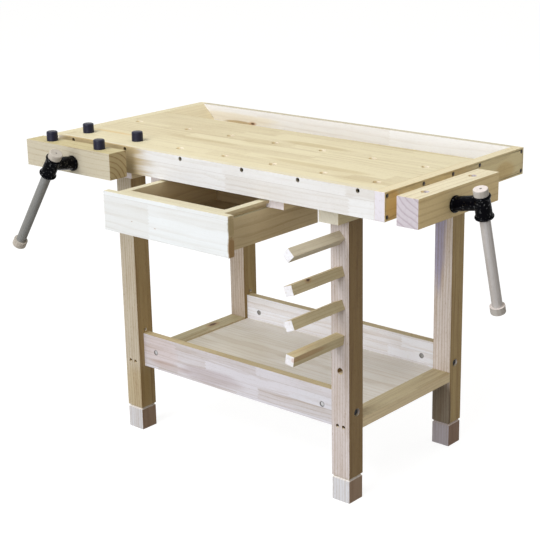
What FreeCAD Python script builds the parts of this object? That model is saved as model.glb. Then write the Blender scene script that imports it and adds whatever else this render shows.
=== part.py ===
"""Woodworking bench with a front vise, an end vise, a drawer, a shelf and round dogs.

The bench stands on the floor at Z = 0 with its front towards -Y. Lengths are in millimetres.
Bench X runs from the left end cap's outer face and bench Y from the apron's front face. Every
placement takes origin_x and origin_y off, which puts the origin at the middle of the footprint.
"""
import FreeCAD, Part
import os
import re
import Sketcher

doc = FreeCAD.newDocument("WoodworkingBench")

# Driving sizes. Each becomes a cell of the sheet, with the key as its alias.
SIZES = {
    # top
    "top_length": 1060.0,
    "top_depth": 557.0,
    "top_height": 800.0,
    "rim_height": 65.0,
    "apron_thick": 18.0,
    "rear_rail_thick": 18.0,
    "cap_thick": 27.0,
    "panel_thick": 22.0,
    "panel_depth": 364.0,
    "bearer_thick": 32.0,
    "well_depth": 50.0,
    "well_floor_thick": 8.0,
    "well_groove_depth": 6.0,
    "well_rail_thick": 18.0,
    "ramp_run": 50.0,
    # dog holes: a first column, then six evenly spread ones
    "dog_hole_radius": 9.5,
    "dog_first_column": 66.5,
    "dog_second_column": 248.0,
    "dog_last_margin": 69.0,
    "jaw_dog_column": 74.5,
    "dog_front_row": 66.0,
    "dog_rear_row": 248.0,
    # wood screws
    "screw_head_radius": 4.0,
    "screw_head_height": 3.0,
    "screw_shank_radius": 2.2,
    "screw_length": 42.0,
    "screw_sink_radius": 4.6,
    "screw_sink_depth": 8.0,
    "apron_screw_drop": 6.5,
    "apron_screw_left": 82.0,
    "apron_screw_left_pitch": 189.5,
    "apron_screw_right": 71.0,
    "apron_screw_right_pitch": 166.0,
    "cap_screw_drop": 9.0,
    "cap_screw_rise": 9.0,
    "cap_screw_near": 143.0,
    "cap_screw_middle": 257.0,
    "cap_screw_far": 366.0,
    # stand
    "leg_width": 52.0,
    "leg_left_inset": 151.0,
    "leg_right_inset": 155.5,
    "leg_front_setback": 78.0,
    "leg_rear_setback": 8.5,
    "leg_bevel": 3.0,
    "foot_height": 61.0,
    "foot_width": 51.0,
    "foot_bevel": 4.0,
    "top_rail_height": 41.0,
    "top_rail_width": 56.0,
    "top_rail_pad_start": 205.0,
    "top_rail_nose": 38.0,
    "stretcher_bottom": 180.0,
    "stretcher_height": 91.0,
    "stretcher_thick": 22.0,
    "stretcher_setback": 18.5,
    "side_rail_height": 25.0,
    "shelf_thick": 12.0,
    "shelf_drop": 4.0,
    "shelf_groove_depth": 8.0,
    "rail_screw_spread": 9.0,
    "rail_screw_rise": 13.0,
    "rail_screw_length": 75.0,
    "socket_rise": 9.0,
    "socket_radius": 5.0,
    "socket_depth": 15.0,
    # stretcher bolts and barrel nuts
    "bolt_height": 226.0,
    "bolt_radius": 4.0,
    "bolt_head_radius": 7.0,
    "bolt_head_height": 5.0,
    "bolt_sink_radius": 10.0,
    "bolt_sink_depth": 9.0,
    "nut_radius": 5.4,
    "nut_setback": 44.0,
    "nut_length": 20.0,
    "bolt_tip": 4.0,
    "bolt_hole_spare": 2.0,
    # support pegs
    "peg_side": 23.5,
    "peg_reach": 180.0,
    "peg_tenon_radius": 7.8,
    "peg_tenon_length": 39.0,
    "peg_hole_depth": 40.0,
    "peg_top_drop": 40.0,
    "peg_pitch": 80.5,
    "peg_turn_one": 45.0,
    "peg_turn_two": -18.0,
    "peg_turn_three": -22.0,
    "peg_turn_four": 8.0,
    # drawer
    "drawer_right_gap": 100.5,
    "drawer_width": 398.0,
    "drawer_open": 152.0,
    "drawer_front_thick": 18.0,
    "drawer_front_height": 95.0,
    "drawer_top_gap": 4.0,
    "drawer_depth": 346.0,
    "drawer_side_thick": 20.0,
    "drawer_side_height": 92.0,
    "drawer_side_drop": 1.0,
    "drawer_side_inset": 30.0,
    "drawer_lining_thick": 25.0,
    "drawer_back_thick": 12.0,
    "drawer_bottom_thick": 4.0,
    "drawer_bottom_rise": 6.0,
    "drawer_groove_depth": 5.0,
    "runner_height": 23.0,
    "runner_width": 44.0,
    "runner_length": 440.0,
    "tongue_height": 9.4,
    "tongue_reach": 8.7,
    # vises
    "front_screw_x": 180.5,
    "end_screw_y": 134.0,
    "front_screw_drop": 37.0,
    "end_screw_drop": 39.0,
    "front_gap": 34.5,
    "end_gap": 28.6,
    "front_jaw_left": 173.5,
    "front_jaw_right": 131.0,
    "end_jaw_front": 131.0,
    "end_jaw_rear": 178.5,
    "jaw_thick": 55.0,
    "front_jaw_rise": 1.5,
    "end_jaw_rise": -3.0,
    "rod_offset": 45.0,
    "rod_radius": 8.0,
    "rod_seat": 40.0,
    "tail_length": 200.0,
    "spindle_radius": 11.0,
    "collar_radius": 16.0,
    "collar_thick": 8.0,
    "collar_seat_depth": 9.5,
    "collar_seat_gap": 2.0,
    "spindle_bevel": 2.0,
    "bracket_half_length": 56.0,
    "bracket_drop": 23.0,
    "bracket_rise": 14.5,
    "bracket_plate": 8.0,
    "bracket_length": 25.0,
    "bush_radius": 12.0,
    "hub_reach": 73.5,
    "hub_flange_thick": 9.0,
    "hub_neck_radius": 16.5,
    "hub_root_radius": 17.0,
    "hub_neck_rise": 15.0,
    "tee_half_length": 27.3,
    "tee_rise": 6.0,
    "tee_top_radius": 17.5,
    "tee_low_radius": 18.5,
    "bead_bulge": 2.8,
    "bead_height": 7.0,
    "tee_flare": 2.0,
    "bar_radius": 12.0,
    "bar_clearance": 0.6,
    "bar_tenon_radius": 8.0,
    "bar_tenon_length": 10.0,
    "handle_drop": 259.0,
    "cap_radius": 16.3,
    "cap_height": 15.0,
    "knob_radius": 17.3,
    "knob_height": 18.0,
    "cap_round": 2.0,
    "front_handle_tilt": 33.3,
    "end_handle_tilt": 16.3,
    # bench dogs
    "dog_head_radius": 14.2,
    "dog_head_height": 24.0,
    "dog_crown_radius": 14.0,
    "dog_round": 3.5,
    "dog_tip": 1.0,
    "dog_shank_length": 40.0,
    # clearances
    "slide_gap": 0.3,
    "turn_gap": 0.3,
    "seat_gap": 0.05,
}

# Places worked out from the sizes, in the order in which they are needed.
PLACES = {
    "hub_front": "jaw_thick + turn_gap + hub_reach + tee_low_radius + bead_bulge",
    "hub_center": "jaw_thick + turn_gap + hub_reach",
    "origin_x": "(top_length + end_gap + hub_front) / 2",
    "origin_y": "(top_depth - max(front_gap + hub_front; drawer_open)) / 2",
    "rim_bottom": "top_height - rim_height",
    "rim_length": "top_length - 2 * cap_thick",
    "panel_bottom": "top_height - panel_thick",
    "panel_back": "apron_thick + panel_depth",
    "batten_height": "rim_height - panel_thick",
    "well_back": "top_depth - rear_rail_thick",
    "well_width": "well_back - panel_back",
    "well_floor_top": "top_height - well_depth",
    "well_floor_rise": "well_floor_top - well_floor_thick - rim_bottom",
    "dog_pitch": "(top_length - dog_last_margin - dog_second_column) / 5",
    "leg_left_x": "leg_left_inset",
    "leg_right_x": "top_length - leg_right_inset - leg_width",
    "leg_front_y": "leg_front_setback",
    "leg_rear_y": "top_depth - leg_rear_setback - leg_width",
    "leg_top": "rim_bottom - top_rail_height",
    "leg_length": "leg_top - foot_height",
    "frame_span": "leg_right_x - leg_left_x - leg_width",
    "side_span": "leg_rear_y - leg_front_y - leg_width",
    "stretcher_front_y": "leg_front_y + stretcher_setback",
    "stretcher_rear_y": "leg_rear_y + leg_width - stretcher_setback - stretcher_thick",
    "shelf_top": "stretcher_bottom + side_rail_height - shelf_drop",
    "shelf_bottom": "shelf_top - shelf_thick",
    "shelf_span": "stretcher_rear_y - stretcher_front_y - stretcher_thick",
    "peg_x": "leg_right_x + leg_width / 2",
    "drawer_left": "leg_right_x - drawer_right_gap - drawer_width",
    "drawer_top": "rim_bottom - drawer_top_gap",
    "drawer_side_top": "drawer_top - drawer_side_drop",
    "drawer_side_bottom": "drawer_side_top - drawer_side_height",
    "drawer_side_y": "drawer_front_thick - drawer_open",
    "drawer_side_length": "drawer_depth - drawer_front_thick",
    "drawer_inner_width": "drawer_width - 2 * drawer_side_inset - 2 * drawer_side_thick",
    "drawer_back_y": "drawer_depth - drawer_open - drawer_back_thick",
    "drawer_floor_z": "drawer_side_bottom + drawer_bottom_rise",
    "runner_bottom": "rim_bottom - runner_height",
    "front_screw_z": "top_height - front_screw_drop",
    "end_screw_z": "top_height - end_screw_drop",
    "front_wall": "apron_thick + bearer_thick",
    "handle_bottom": "handle_drop - knob_height",
    "tee_high": "tee_half_length + tee_rise",
    "tee_low": "tee_half_length - tee_rise",
    "collar_back": "collar_seat_depth - turn_gap",
}

sheet = doc.addObject("Spreadsheet::Sheet", "Sizes")
for row, (alias, size) in enumerate(SIZES.items(), 1):
    sheet.set("A%d" % row, alias)
    sheet.set("B%d" % row, str(size))
    sheet.setAlias("B%d" % row, alias)
doc.recompute()


def cells(text):
    """Spell each size and place named in an expression as the cell that holds it."""
    def owner(match):
        word = match.group(0)
        if word in SIZES:
            return "Sizes." + word
        return "Places." + word if word in PLACES else word
    return re.sub(r"[a-z]+(?:_[a-z]+)+", owner, text)


places = doc.addObject("App::VarSet", "Places")
for place_name, formula in PLACES.items():
    places.addProperty("App::PropertyFloat", place_name)
    places.setExpression(place_name, cells(formula))
doc.recompute()


def value(text):
    """The number that an expression gives now."""
    return float(sheet.evalExpression(cells(text)))


def add(*terms):
    """A sum of expressions."""
    return " + ".join("(%s)" % term for term in terms)


PIECES = []

# Heights and radii that differ by less than this are the same.
SAME = 0.01

# Each face of a squared piece: its plane, where it lies on the plane's normal (none for the plane
# itself, or a span of the piece, with its sign), and whether a cut into the piece runs along it.
FACES = {
    "top": ("XY_Plane", "height", "", False),
    "bottom": ("XY_Plane", None, "", True),
    "front": ("XZ_Plane", None, "", False),
    "back": ("XZ_Plane", "depth", "-", True),
    "left": ("YZ_Plane", None, "", True),
    "right": ("YZ_Plane", "length", "", False),
}


class Piece:
    """A body with its own frame, built up by pads, turned profiles and cuts."""

    def __init__(self, name, group=False, **spans):
        self.body = doc.addObject("PartDesign::Body", name)
        self.body.Label = name
        self.body.AllowCompound = group
        self.spans = spans
        PIECES.append(self.body)

    def place(self, x, y, z, yaw="0", pitch="0"):
        """Put the body's frame at a point of the bench, turned about Z and then its own Y."""
        spot = "vector(%s - origin_x; %s - origin_y; %s)" % (x, y, z)
        turn = "rotation(%s; %s; 0)" % (yaw, pitch)
        self.body.setExpression("Placement", cells("placement(%s; %s)" % (spot, turn)))
        return self

    def sketch(self, role, offset="0"):
        """A sketch on one of the body's planes, moved along the plane's normal."""
        plane = [item for item in self.body.Origin.OriginFeatures if item.Role == role][0]
        sketch = self.body.newObject("Sketcher::SketchObject", "Sketch")
        sketch.AttachmentSupport = [(plane, "")]
        sketch.MapMode = "FlatFace"
        sketch.setExpression("AttachmentOffset.Base.z", cells(offset))
        return sketch

    def feature(self, kind, sketch, name):
        """A feature of the body that uses the sketch."""
        item = self.body.newObject("PartDesign::" + kind, name)
        item.Profile = sketch
        sketch.Visibility = False
        return item

    def pad(self, sketch, length, backwards=False, name="Pad"):
        """Stretch the sketch along its normal, or backwards against it."""
        item = self.feature("Pad", sketch, name)
        item.setExpression("Length", cells(length))
        item.Reversed = backwards
        return item

    def pocket(self, sketch, depth=None, backwards=False, name="Pocket"):
        """Cut the sketch against its normal, or backwards along it; without a depth right through."""
        item = self.feature("Pocket", sketch, name)
        if depth is None:
            item.Type = "ThroughAll"
            item.SideType = "Symmetric"
        else:
            item.setExpression("Length", cells(depth))
            item.Reversed = backwards
        return item

    def turn(self, outline, axis="V_Axis", name="Turned"):
        """Turn an outline, drawn as (Y, Z) points, about the body's Z (V_Axis) or Y (H_Axis)."""
        sketch = self.sketch("YZ_Plane")
        draw(sketch, outline)
        item = self.feature("Revolution", sketch, name)
        item.ReferenceAxis = (sketch, [axis])
        item.Angle = 360
        return item

    def face(self, side):
        """The plane, offset and direction of a cut through one side of a squared piece."""
        role, span, sign, backwards = FACES[side]
        offset = "0" if span is None else "%s(%s)" % (sign, self.spans[span])
        return role, offset, backwards

    def drill(self, side, spots, radius, depth=None):
        """Round holes from one side, at points of the two body axes that lie in that side."""
        role, offset, backwards = self.face(side)
        sketch = self.sketch(role, offset)
        circles(sketch, spots, radius)
        return self.pocket(sketch, depth, backwards, "Hole")

    def groove(self, side, corner, width, height, depth):
        """A rectangular cut from one side."""
        role, offset, backwards = self.face(side)
        sketch = self.sketch(role, offset)
        rectangle(sketch, corner[0], corner[1], width, height)
        return self.pocket(sketch, depth, backwards, "Groove")

    def bevel(self, size, test, kind="Chamfer"):
        """Chamfer or fillet the edges that pass the test."""
        doc.recompute()
        base = self.body.Tip
        names = ["Edge%d" % number for number, edge in enumerate(base.Shape.Edges, 1) if test(edge)]
        item = self.body.newObject("PartDesign::" + kind, kind)
        item.Base = (base, names)
        item.setExpression("Radius" if kind == "Fillet" else "Size", cells(size))
        return item


def fix(sketch, name, kind, target, expression):
    """Measure a point of the sketch from its origin, with the dimension bound to an expression."""
    number = sketch.addConstraint(Sketcher.Constraint(kind, -1, 1, target[0], target[1], value(expression)))
    sketch.renameConstraint(number, name)
    sketch.setExpression("Constraints." + name, cells(expression))


def rectangle(sketch, x, y, width, height):
    """A rectangle with its lower left corner at (x, y)."""
    left, low = value(x), value(y)
    right, high = left + value(width), low + value(height)
    corners = [(left, low), (right, low), (right, high), (left, high)]
    for index in range(4):
        start = FreeCAD.Vector(*corners[index], 0)
        end = FreeCAD.Vector(*corners[(index + 1) % 4], 0)
        sketch.addGeometry(Part.LineSegment(start, end))
    for index in range(4):
        sketch.addConstraint(Sketcher.Constraint("Coincident", index, 2, (index + 1) % 4, 1))
        way = "Vertical" if index % 2 else "Horizontal"
        sketch.addConstraint(Sketcher.Constraint(way, index))
    fix(sketch, "left", "DistanceX", (0, 1), x)
    fix(sketch, "low", "DistanceY", (0, 1), y)
    fix(sketch, "right", "DistanceX", (1, 2), add(x, width))
    fix(sketch, "high", "DistanceY", (1, 2), add(y, height))


def circles(sketch, spots, radius):
    """Equal circles at the given points."""
    for x, y in spots:
        center = FreeCAD.Vector(value(x), value(y), 0)
        number = sketch.addGeometry(Part.Circle(center, FreeCAD.Vector(0, 0, 1), value(radius)))
        fix(sketch, "x%d" % number, "DistanceX", (number, 3), x)
        fix(sketch, "y%d" % number, "DistanceY", (number, 3), y)
        size = sketch.addConstraint(Sketcher.Constraint("Radius", number, value(radius)))
        sketch.renameConstraint(size, "radius%d" % number)
        sketch.setExpression("Constraints.radius%d" % number, cells(radius))


def draw(sketch, outline):
    """A closed outline. A point has two terms; one with four is an arc's way point and its end."""
    ends = [item[-2:] for item in outline]
    spot = [FreeCAD.Vector(value(x), value(y), 0) for x, y in ends]
    joints = []
    for index, item in enumerate(outline):
        start, end = spot[index - 1], spot[index]
        if len(item) == 2:
            number = sketch.addGeometry(Part.LineSegment(start, end))
            joints.append((number, 1, 2))
            continue
        way = FreeCAD.Vector(value(item[0]), value(item[1]), 0)
        number = sketch.addGeometry(Part.Arc(start, way, end))
        forward = sketch.getPoint(number, 1).distanceToPoint(start) < 1e-6
        joints.append((number, 1, 2) if forward else (number, 2, 1))
        mark = sketch.addGeometry(Part.Point(way), True)
        fix(sketch, "way_x%d" % mark, "DistanceX", (mark, 1), item[0])
        fix(sketch, "way_y%d" % mark, "DistanceY", (mark, 1), item[1])
        sketch.addConstraint(Sketcher.Constraint("PointOnObject", mark, 1, number))
    for index, (number, first, last) in enumerate(joints):
        before = joints[index - 1]
        sketch.addConstraint(Sketcher.Constraint("Coincident", before[0], before[2], number, first))
        fix(sketch, "x%d" % number, "DistanceX", (number, last), ends[index][0])
        fix(sketch, "y%d" % number, "DistanceY", (number, last), ends[index][1])


def board(name, x, y, z, length, depth, height):
    """A squared piece of wood with its lower left front corner at a point of the bench."""
    piece = Piece(name, length=length, depth=depth, height=height)
    sketch = piece.sketch("XY_Plane")
    rectangle(sketch, "0", "0", length, depth)
    piece.pad(sketch, height, name="Board")
    return piece.place(x, y, z)


def at_height(level):
    """A test for edges that lie all at one height of the body."""
    def test(edge):
        box = edge.BoundBox
        return abs(box.ZMin - level) < SAME and abs(box.ZMax - level) < SAME
    return test


def round_at(radius, levels):
    """A test for circles of one radius whose middles lie at one of the levels."""
    def test(edge):
        curve = edge.Curve
        if not isinstance(curve, Part.Circle) or abs(curve.Radius - radius) > SAME:
            return False
        return any(abs(curve.Center.z - level) < SAME for level in levels)
    return test


# Wood screws: where they stand on the apron (X, Z) and on each cap (Y, Z), from the bench's corner.
APRON_SCREWS = []
for step in range(3):
    APRON_SCREWS.append("apron_screw_left + %d * apron_screw_left_pitch" % step)
    APRON_SCREWS.append("top_length - apron_screw_right - %d * apron_screw_right_pitch" % step)
APRON_SCREW_Z = "top_height - apron_screw_drop"
CAP_SCREW_HIGH = "top_height - cap_screw_drop"
CAP_SCREW_LOW = "rim_bottom + cap_screw_rise"
PANEL_SCREW_Y = ["cap_screw_near", "cap_screw_middle", "cap_screw_far"]
APRON_END_Y = "apron_thick / 2"
REAR_END_Y = "top_depth - rear_rail_thick / 2"
CAP_SCREWS = [(y, CAP_SCREW_HIGH) for y in PANEL_SCREW_Y]
for end_y in (APRON_END_Y, REAR_END_Y):
    CAP_SCREWS += [(end_y, CAP_SCREW_HIGH), (end_y, CAP_SCREW_LOW)]
PILOT_RADIUS = "screw_shank_radius + seat_gap"


def lowered(spots, x, z):
    """The same spots measured from another corner."""
    return [("%s - (%s)" % (a, x), "%s - (%s)" % (b, z)) for a, b in spots]


def countersink(piece, side, spots):
    """Sunk screw holes through a board."""
    piece.drill(side, spots, "screw_sink_radius", "screw_sink_depth")
    piece.drill(side, spots, PILOT_RADIUS)


def vise_holes(piece, side, screw, level):
    """The bores for a vise's screw and its two guide rods."""
    piece.drill(side, [(screw, level)], "spindle_radius + slide_gap")
    rods = [("%s - rod_offset" % screw, level), ("%s + rod_offset" % screw, level)]
    piece.drill(side, rods, "rod_radius + slide_gap")


def make_worktop():
    """The slab with its dog holes and the pilot holes of the screws in its edges."""
    panel = board("worktop_panel", "cap_thick", "apron_thick", "panel_bottom",
                  "rim_length", "panel_depth", "panel_thick")
    rows = ["dog_front_row - apron_thick", "dog_rear_row - apron_thick"]
    pilot = "screw_length + screw_sink_depth - %s"
    edge = [("%s - cap_thick" % x, "panel_thick - apron_screw_drop") for x in APRON_SCREWS]
    panel.drill("front", edge, PILOT_RADIUS, pilot % "apron_thick")
    ends = [("%s - apron_thick" % y, "panel_thick - cap_screw_drop") for y in PANEL_SCREW_Y]
    for side in ("left", "right"):
        panel.drill(side, ends, PILOT_RADIUS, pilot % "cap_thick")
    panel.drill("top", [("dog_first_column - cap_thick", row) for row in rows], "dog_hole_radius")
    column = panel.drill("top", [("dog_second_column - cap_thick", row) for row in rows], "dog_hole_radius")
    doc.recompute()
    pattern = panel.body.newObject("PartDesign::LinearPattern", "DogColumns")
    pattern.Originals = [column]
    pattern.Direction = (column.Profile[0], ["H_Axis"])
    pattern.setExpression("Length", cells("5 * dog_pitch"))
    pattern.Occurrences = 6
    panel.body.Tip = pattern


def make_rim():
    """The boards round the slab and the tool well."""
    apron = board("front_apron", "cap_thick", "0", "rim_bottom", "rim_length", "apron_thick", "rim_height")
    spots = [("%s - cap_thick" % x, "%s - rim_bottom" % APRON_SCREW_Z) for x in APRON_SCREWS]
    countersink(apron, "front", spots)
    vise_holes(apron, "front", "front_screw_x - cap_thick", "front_screw_z - rim_bottom")

    rear = board("rear_rail", "cap_thick", "well_back", "rim_bottom",
                 "rim_length", "rear_rail_thick", "rim_height")
    rear.groove("front", ("0", "well_floor_rise"), "rim_length", "well_floor_thick", "well_groove_depth")

    depth = "screw_length + screw_sink_depth - cap_thick"
    levels = ["rim_height - cap_screw_drop", "cap_screw_rise"]
    for piece, middle in ((apron, "apron_thick / 2"), (rear, "rear_rail_thick / 2")):
        for side in ("left", "right"):
            piece.drill(side, [(middle, level) for level in levels], PILOT_RADIUS, depth)

    left = board("end_cap_left", "0", "0", "rim_bottom", "cap_thick", "top_depth", "rim_height")
    right = board("end_cap_right", "top_length - cap_thick", "0", "rim_bottom",
                  "cap_thick", "top_depth", "rim_height")
    countersink(left, "left", lowered(CAP_SCREWS, "0", "rim_bottom"))
    countersink(right, "right", lowered(CAP_SCREWS, "0", "rim_bottom"))
    vise_holes(right, "right", "end_screw_y", "end_screw_z - rim_bottom")


def make_well():
    """The battens under the slab, and the well's floor and ramp."""
    bearer = board("front_bearer", "cap_thick", "apron_thick", "rim_bottom",
                   "rim_length", "bearer_thick", "batten_height")
    vise_holes(bearer, "front", "front_screw_x - cap_thick", "front_screw_z - rim_bottom")
    rail = board("well_rail", "cap_thick", "panel_back - well_rail_thick", "rim_bottom",
                 "rim_length", "well_rail_thick", "batten_height")
    rail.groove("back", ("0", "well_floor_rise"), "rim_length", "well_floor_thick", "well_groove_depth")
    board("well_floor", "cap_thick", "panel_back - well_groove_depth", "rim_bottom + well_floor_rise",
          "rim_length", "well_width + 2 * well_groove_depth", "well_floor_thick")
    ramp = Piece("well_ramp")
    wedge = ramp.sketch("XZ_Plane")
    draw(wedge, [("0", "0"), ("ramp_run", "0"), ("0", "well_depth")])
    ramp.pad(wedge, "well_width", True, "Wedge")
    ramp.place("cap_thick", "panel_back", "well_floor_top")


def make_frame_screws():
    """The screws of the apron, the caps and the side rails, as one group."""
    screws = Piece("frame_screws", group=True)
    rail_z = "stretcher_bottom + rail_screw_rise"
    rail_x = ["%s + leg_width / 2 %s rail_screw_spread" % (leg, sign)
              for leg in ("leg_left_x", "leg_right_x") for sign in "-+"]
    rail_spots = [(x, rail_z) for x in rail_x]
    sets = [
        ("XZ_Plane", "-screw_sink_depth", True, [(x, APRON_SCREW_Z) for x in APRON_SCREWS], "screw_length"),
        ("YZ_Plane", "screw_sink_depth", False, CAP_SCREWS, "screw_length"),
        ("YZ_Plane", "top_length - screw_sink_depth", True, CAP_SCREWS, "screw_length"),
        ("XZ_Plane", "-leg_front_y - screw_sink_depth", True, rail_spots, "rail_screw_length"),
        ("XZ_Plane", "-leg_rear_y - leg_width + screw_sink_depth", False, rail_spots, "rail_screw_length"),
    ]
    for role, offset, backwards, spots, length in sets:
        sign = "-" if backwards else "+"
        heads = screws.sketch(role, offset)
        circles(heads, spots, "screw_head_radius")
        screws.pad(heads, "screw_head_height", not backwards, "Heads")
        shanks = screws.sketch(role, offset)
        circles(shanks, spots, "screw_shank_radius")
        screws.pad(shanks, length, backwards, "Shanks")
    screws.place("0", "0", "0")


ENDS = {"left": "leg_left_x", "right": "leg_right_x"}
ROWS = {"front": "leg_front_y", "rear": "leg_rear_y"}
OUTSIDE = {"left": "left", "right": "right", "front": "front", "rear": "back"}
INSIDE = {"left": "right", "right": "left"}
STRETCHER_MIDDLE = {
    "front": "stretcher_setback + stretcher_thick / 2",
    "rear": "leg_width - stretcher_setback - stretcher_thick / 2",
}


def make_legs():
    """Four legs with their bolt, screw and peg holes, and a foot block under each."""
    bolt_level = "bolt_height - foot_height"
    screw_level = "stretcher_bottom + rail_screw_rise - foot_height"
    screw_spots = [("leg_width / 2 - rail_screw_spread", screw_level),
                   ("leg_width / 2 + rail_screw_spread", screw_level)]
    socket = [("leg_width / 2", "stretcher_bottom + stretcher_height + socket_rise - foot_height")]
    for row, y in ROWS.items():
        for end, x in ENDS.items():
            leg = board("leg_%s_%s" % (row, end), x, y, "foot_height", "leg_width", "leg_width", "leg_length")
            leg.bevel("leg_bevel", at_height(0))
            bolt = [(STRETCHER_MIDDLE[row], bolt_level)]
            leg.drill(OUTSIDE[end], bolt, "bolt_sink_radius", "bolt_sink_depth")
            leg.drill(OUTSIDE[end], bolt, "bolt_radius + slide_gap")
            leg.drill(INSIDE[end], socket, "socket_radius", "socket_depth")
            leg.drill(OUTSIDE[row], screw_spots, "screw_sink_radius", "screw_sink_depth")
            leg.drill(OUTSIDE[row], screw_spots, PILOT_RADIUS)
            if (row, end) == ("front", "right"):
                holes = [("leg_width / 2", "leg_length - peg_top_drop - %d * peg_pitch" % step)
                         for step in range(5)]
                leg.drill("front", holes, "peg_tenon_radius + slide_gap", "peg_hole_depth")
            inset = "(leg_width - foot_width) / 2"
            foot = board("foot_%s_%s" % (row, end), add(x, inset), add(y, inset), "0",
                         "foot_width", "foot_width", "foot_height")
            foot.bevel("foot_bevel", at_height(value("foot_height")))


def make_top_rails():
    """The rails on the legs. A raised middle carries the slab; the right one has a nose in front."""
    for end, x in ENDS.items():
        nose = "top_rail_nose" if end == "right" else "0"
        start = "leg_front_y - %s" % nose
        rail = Piece("top_rail_" + end)
        side = rail.sketch("YZ_Plane")
        high = "top_rail_height + batten_height"
        pad_start = "top_rail_pad_start - (%s)" % start
        pad_end = "panel_back - well_rail_thick - (%s)" % start
        back = "leg_rear_y + leg_width - (%s)" % start
        draw(side, [("0", "0"), (back, "0"), (back, "top_rail_height"), (pad_end, "top_rail_height"),
                    (pad_end, high), (pad_start, high), (pad_start, "top_rail_height"),
                    ("0", "top_rail_height")])
        rail.pad(side, "top_rail_width", name="Rail")
        corner = x if end == "left" else "leg_right_x + leg_width - top_rail_width"
        rail.place(corner, start, "leg_top")


def make_low_frame():
    """The stretchers, the side rails and the shelf in their grooves."""
    groove_rise = "shelf_bottom - stretcher_bottom"
    inner_x = "leg_left_x + leg_width"
    for row, y, inside in (("front", "stretcher_front_y", "back"), ("rear", "stretcher_rear_y", "front")):
        rail = board("stretcher_" + row, inner_x, y, "stretcher_bottom",
                     "frame_span", "stretcher_thick", "stretcher_height")
        rail.groove(inside, ("0", groove_rise), "frame_span", "shelf_thick", "shelf_groove_depth")
        level = "bolt_height - stretcher_bottom"
        nuts = [("nut_setback", level), ("frame_span - nut_setback", level)]
        rail.drill("front", nuts, "nut_radius + seat_gap")
        bolt = [("stretcher_thick / 2", level)]
        bolt_depth = "nut_setback + nut_radius + bolt_tip + bolt_hole_spare"
        for side in ("left", "right"):
            rail.drill(side, bolt, "bolt_radius + slide_gap", bolt_depth)

    level = "rail_screw_rise"
    spots = [("leg_width / 2 - rail_screw_spread", level), ("leg_width / 2 + rail_screw_spread", level)]
    for end, x in ENDS.items():
        rail = board("side_rail_" + end, x, "leg_front_y + leg_width", "stretcher_bottom",
                     "leg_width", "side_span", "side_rail_height")
        rail.groove(INSIDE[end], ("0", groove_rise), "side_span", "shelf_thick", "shelf_groove_depth")
        for side in ("front", "back"):
            rail.drill(side, spots, PILOT_RADIUS, "rail_screw_length + screw_sink_depth - leg_width")

    length = "frame_span + 2 * shelf_groove_depth"
    depth = "shelf_span + 2 * shelf_groove_depth"
    notch_x = "shelf_groove_depth"
    front_notch = "leg_front_y + leg_width - stretcher_front_y - stretcher_thick + shelf_groove_depth"
    rear_notch = "%s - (stretcher_rear_y + shelf_groove_depth - leg_rear_y)" % depth
    far_x = "%s - shelf_groove_depth" % length
    shelf = Piece("shelf_panel")
    plan = shelf.sketch("XY_Plane")
    draw(plan, [(notch_x, "0"), (far_x, "0"), (far_x, front_notch), (length, front_notch),
                (length, rear_notch), (far_x, rear_notch), (far_x, depth), (notch_x, depth),
                (notch_x, rear_notch), ("0", rear_notch), ("0", front_notch), (notch_x, front_notch)])
    shelf.pad(plan, "shelf_thick", name="Shelf")
    shelf.place("leg_left_x + leg_width - shelf_groove_depth",
                "stretcher_front_y + stretcher_thick - shelf_groove_depth", "shelf_bottom")


def make_stretcher_bolts():
    """The bolts through the legs and the cross nuts that they pull on."""
    middles = ["stretcher_front_y + stretcher_thick / 2", "stretcher_rear_y + stretcher_thick / 2"]
    spots = [(middle, "bolt_height") for middle in middles]
    bolts = Piece("stretcher_bolts", group=True)
    reach = "leg_width - bolt_sink_depth + nut_setback + nut_radius + bolt_tip"
    for offset, backwards in (("leg_left_x + bolt_sink_depth", False),
                              ("leg_right_x + leg_width - bolt_sink_depth", True)):
        heads = bolts.sketch("YZ_Plane", offset)
        circles(heads, spots, "bolt_head_radius")
        bolts.pad(heads, "bolt_head_height", not backwards, "Heads")
        shanks = bolts.sketch("YZ_Plane", offset)
        circles(shanks, spots, "bolt_radius")
        bolts.pad(shanks, reach, backwards, "Shanks")
    bolts.place("0", "0", "0")

    nuts = Piece("barrel_nuts", group=True)
    columns = [("leg_left_x + leg_width + nut_setback", "bolt_height"),
               ("leg_right_x - nut_setback", "bolt_height")]
    for middle in middles:
        ends = nuts.sketch("XZ_Plane", "-(%s) + nut_length / 2" % middle)
        circles(ends, columns, "nut_radius")
        nuts.pad(ends, "nut_length", True, "Nuts")
    threads = nuts.sketch("YZ_Plane")
    circles(threads, spots, "bolt_radius + seat_gap")
    nuts.pocket(threads, name="Threads")
    nuts.place("0", "0", "0")


def make_pegs():
    """Square pegs with a round tenon each, turned as they were left."""
    turns = ["peg_turn_one", "peg_turn_two", "peg_turn_three", "peg_turn_four"]
    for step, angle in enumerate(turns):
        peg = Piece("peg_%d" % (step + 1))
        square = peg.sketch("XZ_Plane", "turn_gap")
        rectangle(square, "-peg_side / 2", "-peg_side / 2", "peg_side", "peg_side")
        peg.pad(square, "peg_reach - turn_gap", name="Arm")
        tenon = peg.sketch("XZ_Plane", "turn_gap")
        circles(tenon, [("0", "0")], "peg_tenon_radius")
        peg.pad(tenon, "peg_tenon_length", True, "Tenon")
        peg.place("peg_x", "leg_front_y", "leg_top - peg_top_drop - %d * peg_pitch" % step, pitch=angle)


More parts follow.
